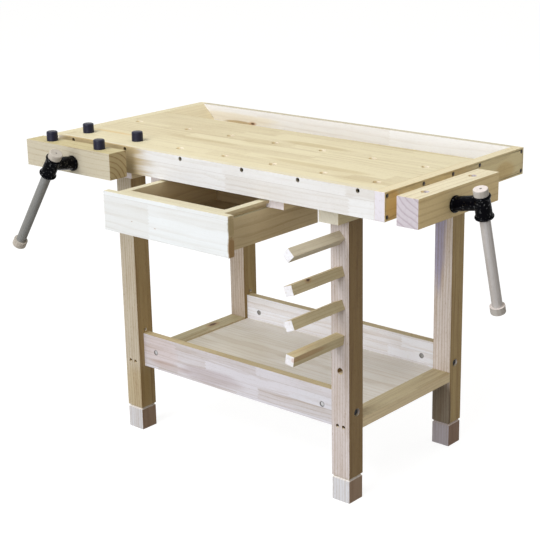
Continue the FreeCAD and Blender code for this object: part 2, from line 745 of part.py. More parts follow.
def make_drawer():
    """The drawer, drawn out by drawer_open, and the two runners that it hangs on.

    Its front is fixed to the box, whose own front, the lining, stands between the sides.
    """
    left = "drawer_left + drawer_side_inset"
    right = "drawer_left + drawer_width - drawer_side_inset"
    inner = add(left, "drawer_side_thick")
    bottom_level = "drawer_floor_z - drawer_side_bottom"
    board("drawer_front", "drawer_left", "-drawer_open", "drawer_top - drawer_front_height",
          "drawer_width", "drawer_front_thick", "drawer_front_height")
    lining = board("drawer_lining", inner, "drawer_side_y", "drawer_side_bottom",
                   "drawer_inner_width", "drawer_lining_thick", "drawer_side_height")
    lining.groove("back", ("0", bottom_level), "drawer_inner_width", "drawer_bottom_thick",
                  "drawer_groove_depth")

    groove_low = "runner_bottom - slide_gap - drawer_side_bottom"
    groove_height = "tongue_height + 2 * slide_gap"
    groove_depth = "tongue_reach + slide_gap"
    for side, x, outside in (("left", left, "left"), ("right", "%s - drawer_side_thick" % right, "right")):
        cheek = board("drawer_side_" + side, x, "drawer_side_y", "drawer_side_bottom",
                      "drawer_side_thick", "drawer_side_length", "drawer_side_height")
        cheek.groove(outside, ("0", groove_low), "drawer_side_length", groove_height, groove_depth)
        inside = INSIDE[outside]
        cheek.groove(inside, ("0", bottom_level), "drawer_side_length",
                     "drawer_bottom_thick", "drawer_groove_depth")
    board("drawer_back", inner, "drawer_back_y", "drawer_floor_z + drawer_bottom_thick",
          "drawer_inner_width", "drawer_back_thick",
          "drawer_side_top - drawer_floor_z - drawer_bottom_thick")
    front_edge = "drawer_lining_thick - drawer_groove_depth"
    board("drawer_bottom", "%s - drawer_groove_depth" % inner, add("drawer_side_y", front_edge),
          "drawer_floor_z", "drawer_inner_width + 2 * drawer_groove_depth",
          "drawer_side_length - (%s)" % front_edge, "drawer_bottom_thick")

    for side, edge, sign in (("left", left, "-"), ("right", right, "")):
        runner = Piece("runner_" + side)
        section = runner.sketch("XZ_Plane")
        web = sign + "(slide_gap)"
        outer = sign + "(slide_gap + runner_width)"
        tip = ("" if sign else "-") + "(tongue_reach)"
        draw(section, [(outer, "0"), (tip, "0"), (tip, "tongue_height"), (web, "tongue_height"),
                       (web, "runner_height"), (outer, "runner_height")])
        runner.pad(section, "runner_length", True, "Runner")
        runner.place(edge, "apron_thick", "runner_bottom")


VISES = {
    "front": {"gap": "front_gap", "wall": "front_wall", "low": "front_jaw_left", "high": "front_jaw_right",
              "yaw": "0", "tilt": "front_handle_tilt",
              "dogs": ["jaw_dog_column - front_screw_x", "dog_second_column - front_screw_x"]},
    "end": {"gap": "end_gap", "wall": "cap_thick", "low": "end_jaw_front", "high": "end_jaw_rear",
            "yaw": "90", "tilt": "-end_handle_tilt",
            "dogs": ["dog_front_row - end_screw_y", "dog_rear_row - end_screw_y"]},
}


def vise_spot(name, along, inward):
    """Bench X and Y of a point along the jaw from the screw, and inward from the bench's face."""
    if name == "front":
        return add("front_screw_x", along), add(inward)
    return "top_length - (%s)" % inward, add("end_screw_y", along)


def make_jaw(name, vise):
    """The wooden jaw: dog holes, the screw's bore with the collar's seat, and the rods' seats."""
    length = "%s + %s" % (vise["low"], vise["high"])
    jaw = board(name + "_jaw", "0", "0", "0", length, "jaw_thick", "rim_height")
    x, y = vise_spot(name, "-%s" % vise["low"], "-(%s + jaw_thick)" % vise["gap"])
    bottom = "rim_bottom + %s_jaw_rise" % name
    jaw.place(x, y, bottom, vise["yaw"])
    level = "%s_screw_z - (%s)" % (name, bottom)
    jaw.drill("top", [(add(spot, vise["low"]), "jaw_thick / 2") for spot in vise["dogs"]], "dog_hole_radius")
    jaw.drill("back", [(vise["low"], level)], "spindle_radius + slide_gap")
    jaw.drill("back", [(vise["low"], level)], "collar_radius + collar_seat_gap", "collar_seat_depth")
    rods = [("%s %s rod_offset" % (vise["low"], sign), level) for sign in "-+"]
    jaw.drill("back", rods, "rod_radius + seat_gap", "rod_seat")


def make_guides(name, vise):
    """The guide rods, and the cast bracket behind the bench's wall that they and the screw run in."""
    rods = Piece(name + "_guide_rods", group=True)
    ends = rods.sketch("XZ_Plane")
    circles(ends, [("-rod_offset", "0"), ("rod_offset", "0")], "rod_radius")
    rods.pad(ends, "rod_seat + tail_length", True, "Rods")
    x, y = vise_spot(name, "0", "-%s - rod_seat" % vise["gap"])
    rods.place(x, y, name + "_screw_z", vise["yaw"])

    bracket = Piece(name + "_bracket", depth="bracket_length")
    plate = bracket.sketch("XZ_Plane")
    rectangle(plate, "-bracket_half_length", "-bracket_drop", "2 * bracket_half_length",
              "bracket_drop + bracket_rise")
    bracket.pad(plate, "bracket_plate", True, "Plate")
    bushes = bracket.sketch("XZ_Plane")
    circles(bushes, [("-rod_offset", "0"), ("rod_offset", "0")], "bush_radius")
    bracket.pad(bushes, "bracket_length", True, "Bushes")
    nut = bracket.sketch("XZ_Plane")
    circles(nut, [("0", "0")], "bracket_rise")
    bracket.pad(nut, "bracket_length", True, "Nut")
    vise_holes(bracket, "front", "0", "0")
    x, y = vise_spot(name, "0", vise["wall"])
    bracket.place(x, y, name + "_screw_z", vise["yaw"])


def make_hub(name, where):
    """The cast head: a beaded cross tube for the bar, on a neck that leans up from a flange."""
    hub = Piece(name + "_hub")
    top, low = "tee_top_radius", "tee_low_radius"
    hub.turn([("0", "tee_high"), (top, "tee_high"),
              (add(top, "bead_bulge"), "tee_high - bead_height / 2", top, "tee_high - bead_height"),
              (low, "bead_height - tee_low"),
              (add(low, "bead_bulge"), "bead_height / 2 - tee_low", low, "-(tee_low)"),
              ("0", "-(tee_low)")], name="CrossTube")
    root = hub.sketch("XZ_Plane")
    circles(root, [("0", "hub_neck_rise")], "hub_root_radius")
    foot = hub.sketch("XZ_Plane", "-hub_reach")
    circles(foot, [("0", "0")], "hub_neck_radius")
    neck = hub.feature("AdditiveLoft", root, "Neck")
    neck.Sections = [foot]
    foot.Visibility = False
    flange = "hub_reach - hub_flange_thick"
    rim = add("hub_neck_radius", "bead_bulge")
    hub.turn([("hub_reach", "0"), ("hub_reach", "hub_neck_radius"),
              ("hub_reach - hub_flange_thick / 2", rim, flange, "hub_neck_radius"),
              (flange, "0")], "H_Axis", "Flange")
    bore = hub.sketch("XY_Plane")
    circles(bore, [("0", "0")], "bar_radius + bar_clearance")
    hub.pocket(bore, name="Bore")
    levels = (value("tee_high"), -value("tee_low"))
    hub.bevel("tee_flare", round_at(value("bar_radius + bar_clearance"), levels))
    hub.place(*where)


def make_screw(name, where):
    """The spindle from the hub through the jaw, and the collar in the jaw's inner face."""
    spindle = Piece(name + "_spindle")
    end = "hub_reach + turn_gap + jaw_thick + tail_length"
    outline = [("hub_reach", "0"), (end, "0"), (end, "spindle_radius - spindle_bevel"),
               ("%s - spindle_bevel" % end, "spindle_radius"), ("hub_reach", "spindle_radius")]
    spindle.turn(outline, "H_Axis", "Spindle")
    spindle.place(*where)

    collar = Piece(name + "_collar")
    start = "hub_reach + turn_gap + jaw_thick - collar_back"
    ring = collar.sketch("XZ_Plane", "-(%s)" % start)
    circles(ring, [("0", "0")], "collar_radius")
    collar.pad(ring, "collar_thick", True, "Ring")
    hole = collar.sketch("XZ_Plane")
    circles(hole, [("0", "0")], "spindle_radius + seat_gap")
    collar.pocket(hole, name="Bore")
    collar.place(*where)


def make_handle(name, where):
    """The loose bar, with a turned cap above the cross tube and a knob at its lower end."""
    top = "tee_high + turn_gap"
    low = "-(handle_bottom)"
    bar = Piece(name + "_handle_bar")
    bar.turn([("0", add(top, "bar_tenon_length")), ("bar_tenon_radius", add(top, "bar_tenon_length")),
              ("bar_tenon_radius", top), ("bar_radius", top), ("bar_radius", low),
              ("bar_tenon_radius", low), ("bar_tenon_radius", "%s - bar_tenon_length" % low),
              ("0", "%s - bar_tenon_length" % low)], name="Bar")
    bar.place(*where)

    caps = Piece(name + "_handle_caps", group=True)
    for base, kind, sign in ((top, "cap", "+"), (low, "knob", "-")):
        radius, height = kind + "_radius", kind + "_height"
        seat = "%s %s bar_tenon_length %s seat_gap" % (base, sign, sign)
        far = "%s %s %s" % (base, sign, height)
        shoulder = "%s %s (%s - cap_round)" % (base, sign, height)
        mid_radius = "%s - cap_round * (1 - sqrt(0.5))" % radius
        mid_level = "%s %s (%s - cap_round * (1 - sqrt(0.5)))" % (base, sign, height)
        caps.turn([("0", seat), ("bar_tenon_radius + seat_gap", seat), ("bar_tenon_radius + seat_gap", base),
                   (radius, base), (radius, shoulder),
                   (mid_radius, mid_level, "%s - cap_round" % radius, far), ("0", far)],
                  name=kind.capitalize())
    caps.place(*where)


def make_vises():
    """Both vises: a jaw on two rods, drawn by a screw that a loose bar turns."""
    for name, vise in VISES.items():
        make_jaw(name, vise)
        make_guides(name, vise)
        x, y = vise_spot(name, "0", "-(%s + hub_center)" % vise["gap"])
        where = (x, y, name + "_screw_z", vise["yaw"], vise["tilt"])
        make_hub(name, where)
        make_screw(name, where)
        make_handle(name, where)


def make_dogs():
    """Four round dogs: two in the slab's front row and two in the front jaw."""
    jaw_middle = "-(front_gap + jaw_thick / 2)"
    jaw_top = "top_height + front_jaw_rise"
    spots = [("dog_first_column", "dog_front_row", "top_height"),
             ("dog_second_column", "dog_front_row", "top_height"),
             ("jaw_dog_column", jaw_middle, jaw_top), ("dog_second_column", jaw_middle, jaw_top)]
    shank = "dog_hole_radius - slide_gap"
    crown = "dog_head_height - dog_round"
    corner_radius = "dog_crown_radius - dog_round * (1 - sqrt(0.5))"
    corner_height = "dog_head_height - dog_round * (1 - sqrt(0.5))"
    for number, spot in enumerate(spots, 1):
        dog = Piece("dog_%d" % number)
        dog.turn([("0", "-dog_shank_length"), ("%s - dog_tip" % shank, "-dog_shank_length"),
                  (shank, "dog_tip - dog_shank_length"), (shank, "0"), ("dog_head_radius", "0"),
                  ("dog_crown_radius", crown),
                  (corner_radius, corner_height, "dog_crown_radius - dog_round", "dog_head_height"),
                  ("0", "dog_head_height")], name="Dog")
        dog.place(*spot)


def check_pieces():
    """Stop at a failed feature, a cut that takes nothing away or a shape that isn't sound."""
    for item in doc.Objects:
        if {"Invalid", "Error"} & set(item.State):
            raise RuntimeError("%s failed: %s" % (item.Label, item.State))
    for body in PIECES:
        volume = 0.0
        for item in body.Group:
            if not item.isDerivedFrom("PartDesign::Feature"):
                continue
            if item.TypeId == "PartDesign::Pocket" and item.Shape.Volume > volume - 1e-3:
                raise RuntimeError("%s: %s cuts nothing" % (body.Label, item.Label))
            volume = item.Shape.Volume
        shape = body.Shape
        if shape.isNull() or not shape.isValid() or not shape.Solids:
            raise RuntimeError("%s has no sound shape" % body.Label)


def export_pieces():
    """Write each piece to its own file."""
    os.makedirs("parts", exist_ok=True)
    for body in PIECES:
        body.Shape.exportStep(os.path.join("parts", body.Label + ".step"))


make_worktop()
make_rim()
make_well()
make_frame_screws()
make_legs()
make_top_rails()
make_low_frame()
make_stretcher_bolts()
make_pegs()
make_drawer()
make_vises()
make_dogs()
doc.recompute()
check_pieces()
export_pieces()
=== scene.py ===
import math

import bpy
from mathutils import Matrix, Vector


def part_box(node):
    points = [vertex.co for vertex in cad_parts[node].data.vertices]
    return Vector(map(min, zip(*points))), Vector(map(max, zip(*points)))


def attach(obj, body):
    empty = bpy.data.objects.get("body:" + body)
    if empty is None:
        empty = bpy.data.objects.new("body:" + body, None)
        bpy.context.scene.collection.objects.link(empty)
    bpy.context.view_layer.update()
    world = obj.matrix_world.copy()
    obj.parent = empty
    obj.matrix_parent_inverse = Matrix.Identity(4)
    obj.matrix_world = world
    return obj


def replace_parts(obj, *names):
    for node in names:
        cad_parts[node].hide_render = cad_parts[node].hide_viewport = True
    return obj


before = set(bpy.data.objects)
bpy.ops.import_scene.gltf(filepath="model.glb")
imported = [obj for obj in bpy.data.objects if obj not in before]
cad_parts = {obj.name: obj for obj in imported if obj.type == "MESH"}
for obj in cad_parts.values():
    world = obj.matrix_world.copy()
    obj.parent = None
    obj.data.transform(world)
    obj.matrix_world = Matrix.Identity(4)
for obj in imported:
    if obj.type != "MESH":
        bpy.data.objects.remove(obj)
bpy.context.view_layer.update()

MM = 0.001


# ---------------------------------------------------------------- places on the bench

# The corner of the bench's top on the floor: lengths below are measured from it, in millimetres.
CORNER = Vector((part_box("end_cap_left")[0].x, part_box("front_apron")[0].y, 0.0))


def spot(x, y, z):
    """A point of the bench, in the scene's metres."""
    return CORNER + Vector((x, y, z)) * MM


def middle(node):
    """The middle of a node's box."""
    low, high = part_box(node)
    return (low + high) / 2


# ---------------------------------------------------------------- camera, floor and light

IMAGE_SIDE = 540
FOCAL_PIXELS = 1370.06
SENSOR = 36.0
YAW, PITCH, ROLL = (math.radians(angle) for angle in (41.2256, -17.1417, -1.1453))
CAMERA_PLACE = (2710.73, -2252.49, 1493.79)

# The lamps: name, place, the point they shine at, side length, power and tint.
LAMPS = (
    ("key", (-0.9, -3.1, 4.2), (0.0, 0.0, 0.5), 2.4, 142.0, (0.98, 1.0, 1.03)),
    ("fill", (0.8, -4.9, 1.9), (0.1, 0.0, 0.3), 2.6, 150.0, (0.96, 0.99, 1.06)),
    ("back", (1.5, 4.2, 2.4), (0.0, 0.0, 0.5), 2.4, 30.0, (1.0, 1.0, 1.0)),
)

FLOOR_HALF = 14.0


def make_camera():
    """The photograph's camera, fitted to the bench's corners."""
    forward = Vector((-math.sin(YAW) * math.cos(PITCH), math.cos(YAW) * math.cos(PITCH), math.sin(PITCH)))
    level = Vector((math.cos(YAW), math.sin(YAW), 0.0))
    up = level.cross(forward)
    right = math.cos(ROLL) * level + math.sin(ROLL) * up
    top = math.cos(ROLL) * up - math.sin(ROLL) * level
    data = bpy.data.cameras.new("camera")
    data.sensor_width = SENSOR
    data.lens = FOCAL_PIXELS / IMAGE_SIDE * SENSOR
    data.clip_end = 100.0
    camera = bpy.data.objects.new("camera", data)
    turn = Matrix((right, top, -forward)).transposed().to_4x4()
    camera.matrix_world = Matrix.Translation(spot(*CAMERA_PLACE)) @ turn
    bpy.context.scene.collection.objects.link(camera)
    bpy.context.scene.camera = camera
    bpy.context.scene.view_settings.view_transform = "Standard"


def add_lamp(name, place, aim, size, power, tint):
    """A square soft box that shines from a place towards a point."""
    data = bpy.data.lights.new(name, "AREA")
    data.shape = "SQUARE"
    data.size = size
    data.energy = power
    data.color = tint
    lamp = bpy.data.objects.new(name, data)
    lamp.location = place
    lamp.rotation_euler = (Vector(aim) - Vector(place)).to_track_quat("-Z", "Y").to_euler()
    bpy.context.scene.collection.objects.link(lamp)


def make_light():
    """Soft boxes high and low in front, a weak one behind, and a pale room round them."""
    for lamp in LAMPS:
        add_lamp(*lamp)
    world = bpy.data.worlds.new("room")
    bpy.context.scene.world = world
    world.use_nodes = True
    tree = world.node_tree
    tree.nodes.clear()
    out = tree.nodes.new("ShaderNodeOutputWorld")
    mix = tree.nodes.new("ShaderNodeMixShader")
    room = tree.nodes.new("ShaderNodeBackground")
    room.inputs["Color"].default_value = (1.0, 0.975, 0.93, 1.0)
    room.inputs["Strength"].default_value = 0.48
    white = tree.nodes.new("ShaderNodeBackground")
    white.inputs["Color"].default_value = (1.0, 1.0, 1.0, 1.0)
    white.inputs["Strength"].default_value = 1.0
    tree.links.new(seen_directly(tree), mix.inputs[0])
    tree.links.new(room.outputs[0], mix.inputs[1])
    tree.links.new(white.outputs[0], mix.inputs[2])
    tree.links.new(mix.outputs[0], out.inputs[0])


def seen_directly(tree):
    """1 where the eye sees the surface itself, in a gloss or through glass.

    It is 0 for the light that the surface throws on the object.
    """
    path = tree.nodes.new("ShaderNodeLightPath")
    total = path.outputs["Is Camera Ray"]
    for name in ("Is Glossy Ray", "Is Transmission Ray"):
        most = tree.nodes.new("ShaderNodeMath")
        most.operation = "MAXIMUM"
        tree.links.new(total, most.inputs[0])
        tree.links.new(path.outputs[name], most.inputs[1])
        total = most.outputs[0]
    return total


def make_floor():
    """A plain white floor that keeps a faint shadow."""
    mesh = bpy.data.meshes.new("floor")
    corners = [(x * FLOOR_HALF, y * FLOOR_HALF, 0) for x, y in ((-1, -1), (1, -1), (1, 1), (-1, 1))]
    mesh.from_pydata(corners, [], [(0, 1, 2, 3)])
    floor = bpy.data.objects.new("floor", mesh)
    bpy.context.scene.collection.objects.link(floor)
    material = bpy.data.materials.new("floor")
    material.use_nodes = True
    tree = material.node_tree
    tree.nodes.clear()
    out = tree.nodes.new("ShaderNodeOutputMaterial")
    mix = tree.nodes.new("ShaderNodeMixShader")
    dim = tree.nodes.new("ShaderNodeBsdfDiffuse")
    dim.inputs["Color"].default_value = (0.30, 0.29, 0.27, 1.0)
    pale = tree.nodes.new("ShaderNodeBsdfDiffuse")
    pale.inputs["Color"].default_value = (0.26, 0.26, 0.26, 1.0)
    glow = tree.nodes.new("ShaderNodeEmission")
    glow.inputs["Strength"].default_value = 0.87
    both = tree.nodes.new("ShaderNodeAddShader")
    tree.links.new(pale.outputs[0], both.inputs[0])
    tree.links.new(glow.outputs[0], both.inputs[1])
    tree.links.new(seen_directly(tree), mix.inputs[0])
    tree.links.new(dim.outputs[0], mix.inputs[1])
    tree.links.new(both.outputs[0], mix.inputs[2])
    tree.links.new(mix.outputs[0], out.inputs[0])
    mesh.materials.append(material)


# ---------------------------------------------------------------- node trees as arithmetic


def linear(red, green, blue):
    """A colour as the screen shows it, 0 to 255, in the scene's linear light."""
    def one(level):
        share = level / 255.0
        return share / 12.92 if share <= 0.04045 else ((share + 0.055) / 1.055) ** 2.4
    return (one(red), one(green), one(blue), 1.0)


class Value:
    """A number that varies over a surface. Arithmetic on it adds Math nodes."""

    def __init__(self, tree, socket):
        self.tree = tree
        self.socket = socket

    def math(self, operation, *others, clamp=False):
        node = self.tree.nodes.new("ShaderNodeMath")
        node.operation = operation
        node.use_clamp = clamp
        for slot, term in zip(node.inputs, (self,) + others):
            feed(self.tree, slot, term)
        return Value(self.tree, node.outputs[0])

    def __add__(self, other):
        return self.math("ADD", other)

    def __sub__(self, other):
        return self.math("SUBTRACT", other)

    def __mul__(self, other):
        return self.math("MULTIPLY", other)

    def __truediv__(self, other):
        return self.math("DIVIDE", other)

    def smooth(self, low, high, start=0.0, end=1.0):
        """Runs smoothly from start to end as the value goes from low to high."""
        node = self.tree.nodes.new("ShaderNodeMapRange")
        node.interpolation_type = "SMOOTHSTEP"
        terms = {"Value": self, "From Min": low, "From Max": high, "To Min": start, "To Max": end}
        for name, term in terms.items():
            feed(self.tree, node.inputs[name], term)
        return Value(self.tree, node.outputs["Result"])


def feed(tree, slot, term):
    """Set an input to a number, a colour or another node's output."""
    if isinstance(term, Value):
        tree.links.new(term.socket, slot)
    elif isinstance(term, bpy.types.NodeSocket):
        tree.links.new(term, slot)
    else:
        slot.default_value = term


def joined(tree, x, y, z):
    """Three values as a vector."""
    node = tree.nodes.new("ShaderNodeCombineXYZ")
    for slot, term in zip(node.inputs, (x, y, z)):
        feed(tree, slot, term)
    return node.outputs[0]


def noise(tree, vector, detail=2.0, scale=1.0, rough=0.5):
    """Smooth noise between 0 and 1."""
    node = tree.nodes.new("ShaderNodeTexNoise")
    tree.links.new(vector, node.inputs["Vector"])
    node.inputs["Scale"].default_value = scale
    node.inputs["Detail"].default_value = detail
    node.inputs["Roughness"].default_value = rough
    return Value(tree, node.outputs[0])


def chance(tree, vector):
    """Three random numbers that stay the same for one vector."""
    node = tree.nodes.new("ShaderNodeTexWhiteNoise")
    tree.links.new(vector, node.inputs["Vector"])
    parts = tree.nodes.new("ShaderNodeSeparateColor")
    tree.links.new(node.outputs["Color"], parts.inputs[0])
    return [Value(tree, part) for part in parts.outputs]


def blend(tree, share, first, second, kind="MIX"):
    """Two colours mixed."""
    node = tree.nodes.new("ShaderNodeMix")
    node.data_type = "RGBA"
    node.blend_type = kind
    feed(tree, node.inputs[0], share)
    feed(tree, node.inputs[6], first)
    feed(tree, node.inputs[7], second)
    return node.outputs[2]


def along(tree, vector, direction):
    """How far a vector reaches in a direction."""
    node = tree.nodes.new("ShaderNodeVectorMath")
    node.operation = "DOT_PRODUCT"
    tree.links.new(vector, node.inputs[0])
    node.inputs[1].default_value = direction
    return Value(tree, node.outputs["Value"])


def shifted(tree, vector, origin):
    """A vector measured from an origin."""
    node = tree.nodes.new("ShaderNodeVectorMath")
    node.operation = "SUBTRACT"
    tree.links.new(vector, node.inputs[0])
    node.inputs[1].default_value = origin
    return node.outputs[0]


def fresh(name):
    """A new material with its tree, shader and coordinates."""
    material = bpy.data.materials.new(name)
    material.use_nodes = True
    tree = material.node_tree
    shader = tree.nodes["Principled BSDF"]
    return material, tree, shader, tree.nodes.new("ShaderNodeTexCoord")


def raise_surface(tree, shader, height, depth):
    """Bump from a height between 0 and 1 that stands for a depth in metres."""
    bump = tree.nodes.new("ShaderNodeBump")
    bump.inputs["Strength"].default_value = 1.0
    bump.inputs["Distance"].default_value = depth
    feed(tree, bump.inputs["Height"], height)
    tree.links.new(bump.outputs[0], shader.inputs["Normal"])


# ---------------------------------------------------------------- wood

X, Y, Z = Vector((1, 0, 0)), Vector((0, 1, 0)), Vector((0, 0, 1))

# Tones on each board's faces across X, Y and Z: the wood's own colour with painted light and shade in it.
# Faces to the front are painted pale and cool as if lit, tops yellow, and the sides browner as painted
# shade.
PALE = {"X": (222, 204, 162), "Y": (212, 211, 209), "Z": (228, 219, 190)}
REAR = {"X": (222, 204, 162), "Y": (222, 221, 220), "Z": (206, 198, 172)}
TOP = {"X": (232, 214, 166), "Y": (232, 222, 200), "Z": (227, 216, 180)}
CAP = {"X": (234, 217, 168), "Y": (208, 203, 208), "Z": (230, 217, 180)}
JAW = {"X": (177, 158, 115), "Y": (182, 173, 151), "Z": (198, 184, 138)}
CROSS_JAW = {"X": (232, 208, 156), "Y": (188, 180, 184), "Z": (234, 223, 190)}
LEG = {"X": (132, 107, 64), "Y": (202, 193, 190), "Z": (228, 214, 182)}
OLIVE_LEG = {"X": (156, 132, 88), "Y": (185, 174, 154), "Z": (228, 214, 182)}
# The rear legs' fronts are painted lighter: painted light where the top shades them.
LIT_REAR_LEFT_LEG = {"X": (154, 131, 84), "Y": (218, 207, 196), "Z": (228, 214, 182)}
LIT_REAR_RIGHT_LEG = {"X": (168, 145, 98), "Y": (242, 234, 230), "Z": (228, 214, 182)}
FOOT = {"X": (146, 122, 99), "Y": (208, 208, 212), "Z": (232, 226, 216)}
PEG = {"X": (206, 192, 154), "Y": (226, 226, 230), "Z": (208, 194, 156)}
RAIL = {"X": (230, 212, 174), "Y": (222, 214, 214), "Z": (216, 202, 164)}
CREAM_RAIL = {"X": (222, 207, 168), "Y": (206, 200, 182), "Z": (200, 188, 150)}
STRETCHER = {"X": (230, 212, 174), "Y": (206, 202, 206), "Z": (206, 190, 150)}
# The rear stretcher's front is painted near white: painted light where the top shades it.
LIT_REAR_STRETCHER = {"X": (230, 212, 174), "Y": (250, 250, 254), "Z": (206, 190, 150)}
# The shelf's top is painted near white: painted light under the top.
PLY = {"X": (214, 194, 158), "Y": (220, 208, 188), "Z": (255, 252, 246)}
DRAWER = {"X": (212, 193, 154), "Y": (213, 215, 214), "Z": (220, 212, 182)}
# Painted shade inside the drawer.
SHADED_INSIDE = {"X": (180, 156, 112), "Y": (160, 136, 98), "Z": (166, 144, 106)}
FRONT_BAR = {"X": (124, 124, 121), "Y": (124, 124, 121), "Z": (124, 124, 121)}
END_BAR = {"X": (188, 184, 181), "Y": (188, 184, 181), "Z": (188, 184, 181)}
FRONT_CAP = {"X": (172, 164, 152), "Y": (172, 164, 152), "Z": (188, 180, 168)}
END_CAP = {"X": (176, 170, 162), "Y": (176, 170, 162), "Z": (226, 216, 210)}
BROWN = (0.58, 0.47, 0.34, 1.0)

# Lengths in metres: the fingers between staves laid end to end, half the width of a glue line where it
# begins and where it is full, how deep the wood's figure is, and how far its edges are eased.
FINGER_WIDTH = 0.004
FINGER_LENGTH = 0.006
GLUE_OUTER = 0.0005
GLUE_INNER = 0.0001
WOOD_RELIEF = 0.0002
EASED_EDGE = 0.0008


def tone_with_painted_light(tree, coords, tones):
    """The tone on each face, by the face's own direction on the board: the wood's colour with painted
    light and shade.
    """
    normal = coords.outputs["Normal"]
    parts = [along(tree, normal, axis) for axis in (X, Y, Z)]
    weight_x = (parts[0] * parts[0]).smooth(0.2, 0.8)
    weight_z = (parts[2] * parts[2]).smooth(0.2, 0.8)
    color = blend(tree, weight_x, linear(*tones["Y"]), linear(*tones["X"]))
    return blend(tree, weight_z, color, linear(*tones["Z"]))


def wood(name, tones, grain, across, staves, contrast, center, rings, knots=(), patches=(), seed=0.0):
    """Wood whose grain runs one way, in one piece or glued up from staves.

    across is the direction in which the staves lie side by side, and staves their width and length.
    rings is where the tree's middle lies from the board's, across and through it, how far apart the
    rings are, and their strength and tone on the ends.
    """
    pith, spacing, end_rings, end_tone = rings
    material, tree, shader, coords = fresh(name)
    through = grain.cross(across)
    place = shifted(tree, coords.outputs["Object"], center)
    u, v, w = (along(tree, place, axis) for axis in (grain, across, through))

    if staves:
        width, length = staves
        row = (v / width + 0.5 + seed).math("FLOOR")
        start = chance(tree, joined(tree, row, seed + 3.7, 0.0))[0]
        zigzag = (v / FINGER_WIDTH).math("PINGPONG", 1.0) * FINGER_LENGTH
        column = ((u + zigzag) / length + start).math("FLOOR")
        pick = chance(tree, joined(tree, row, column, seed + 1.3))
    else:
        pick = chance(tree, joined(tree, seed + 0.5, 1.0, 2.0))
    far = u + pick[0] * 9.0
    side, deep = (v + (pick[1] - 0.5) * 0.05, w + pick[2] * 0.03) if staves else (v, w)

    wander = noise(tree, joined(tree, far * 2.2, side * 7.0, deep * 7.0), 2.0)
    swirl = noise(tree, joined(tree, far * 9.0, side * 40.0, deep * 40.0), 2.0)
    ring_v = side - pith[0] + (wander - 0.5) * 0.035
    ring_w = deep - pith[1]
    radius = (ring_v * ring_v + ring_w * ring_w).math("SQRT") + (swirl - 0.5) * 0.004
    phase = (radius / spacing).math("FRACT")
    late = phase.smooth(0.55, 0.93) * phase.smooth(0.93, 1.0, 1.0, 0.0)
    fibre = noise(tree, joined(tree, far * 16.0, side * 620.0, deep * 620.0), 3.0, rough=0.6)
    streak = noise(tree, joined(tree, far * 5.0, side * 120.0, deep * 120.0), 3.0, rough=0.6)
    pore = noise(tree, joined(tree, far * 130.0, side * 1500.0, deep * 1500.0), 0.0).smooth(0.66, 0.76)
    cloud = noise(tree, joined(tree, far * 6.0, side * 22.0, deep * 22.0), 2.0)

    ends = along(tree, coords.outputs["Normal"], grain)
    ends = (ends * ends).smooth(0.4, 0.9)
    dark = late * (ends * (end_rings - 0.30) + 0.30)
    dark = dark + streak.smooth(0.45, 0.8) * 0.34 + (fibre - 0.5) * 0.30
    dark = dark + pore * 0.34 + (cloud - 0.5) * 0.5 + (pick[2] - 0.5) * 0.42
    dark = (dark * contrast).math("ADD", 0.06, clamp=True)
    # The face tones hold painted light and shade by each face's direction.
    color = tone_with_painted_light(tree, coords, tones)
    browned = blend(tree, 1.0, color, blend(tree, ends, BROWN, end_tone), "MULTIPLY")
    color = blend(tree, dark, color, browned)
    height = fibre * 0.5 - pore * 0.7 - late * 0.15

    if staves:
        seam = (v / width + 0.5 + seed).math("FRACT").math("SUBTRACT", 0.5).math("ABSOLUTE")
        line = seam.smooth(0.5 - GLUE_OUTER / width, 0.5 - GLUE_INNER / width)
        color = blend(tree, line * 0.35, color, linear(120, 92, 60))
        height = height - line * 0.4
    # Patches: most are the wood's own tone; some are painted shade, in holes and where parts shade the
    # wood.
    for point, sizes, tone, share in patches:
        rag = 0.0 if tone is HOLE_SHADE else 0.6
        away = shifted(tree, coords.outputs["Object"], spot(*point))
        parts = [along(tree, away, axis) / (size * MM) for axis, size in zip((X, Y, Z), sizes)]
        far_off = (parts[0] * parts[0] + parts[1] * parts[1] + parts[2] * parts[2]).math("SQRT")
        edge = (far_off + (swirl - 0.5) * rag + (streak - 0.5) * rag).smooth(1.15, 0.65)
        color = blend(tree, edge * share, color, blend(tree, 1.0, color, tone + (1.0,), "MULTIPLY"))
    for x, y, z, size, stretch in knots:
        away = shifted(tree, coords.outputs["Object"], spot(x, y, z))
        parts = [along(tree, away, axis) for axis in (grain, across, through)]
        parts[0] = parts[0] / stretch
        far_off = (parts[0] * parts[0] + parts[1] * parts[1] + parts[2] * parts[2]).math("SQRT")
        far_off = far_off / (size * MM) + (swirl - 0.5) * 0.5
        color = blend(tree, far_off.smooth(1.6, 0.6) * 0.6, color, linear(176, 132, 84))
        color = blend(tree, far_off.smooth(0.85, 0.35), color, linear(92, 66, 44))
    tree.links.new(color, shader.inputs["Base Color"])
    feed(tree, shader.inputs["Roughness"], fibre * 0.2 + pore * 0.1 + 0.48)
    shader.inputs["Specular IOR Level"].default_value = 0.35
    raise_surface(tree, shader, height, WOOD_RELIEF)
    return material


def dress(node, material):
    """Give every slot of a CAD node one material."""
    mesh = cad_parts[node].data
    mesh.materials.clear()
    mesh.materials.append(material)
    for face in mesh.polygons:
        face.material_index = 0


def ease(node, width):
    """Softly rounded corners, as sanded wood has."""
    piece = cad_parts[node]
    weld = piece.modifiers.new("weld", "WELD")
    weld.merge_threshold = 0.00001
    bevel = piece.modifiers.new("ease", "BEVEL")
    bevel.width = width
    bevel.segments = 2
    bevel.limit_method = "ANGLE"
    bevel.angle_limit = math.radians(50)
    bevel.harden_normals = True
    bevel.use_clamp_overlap = True


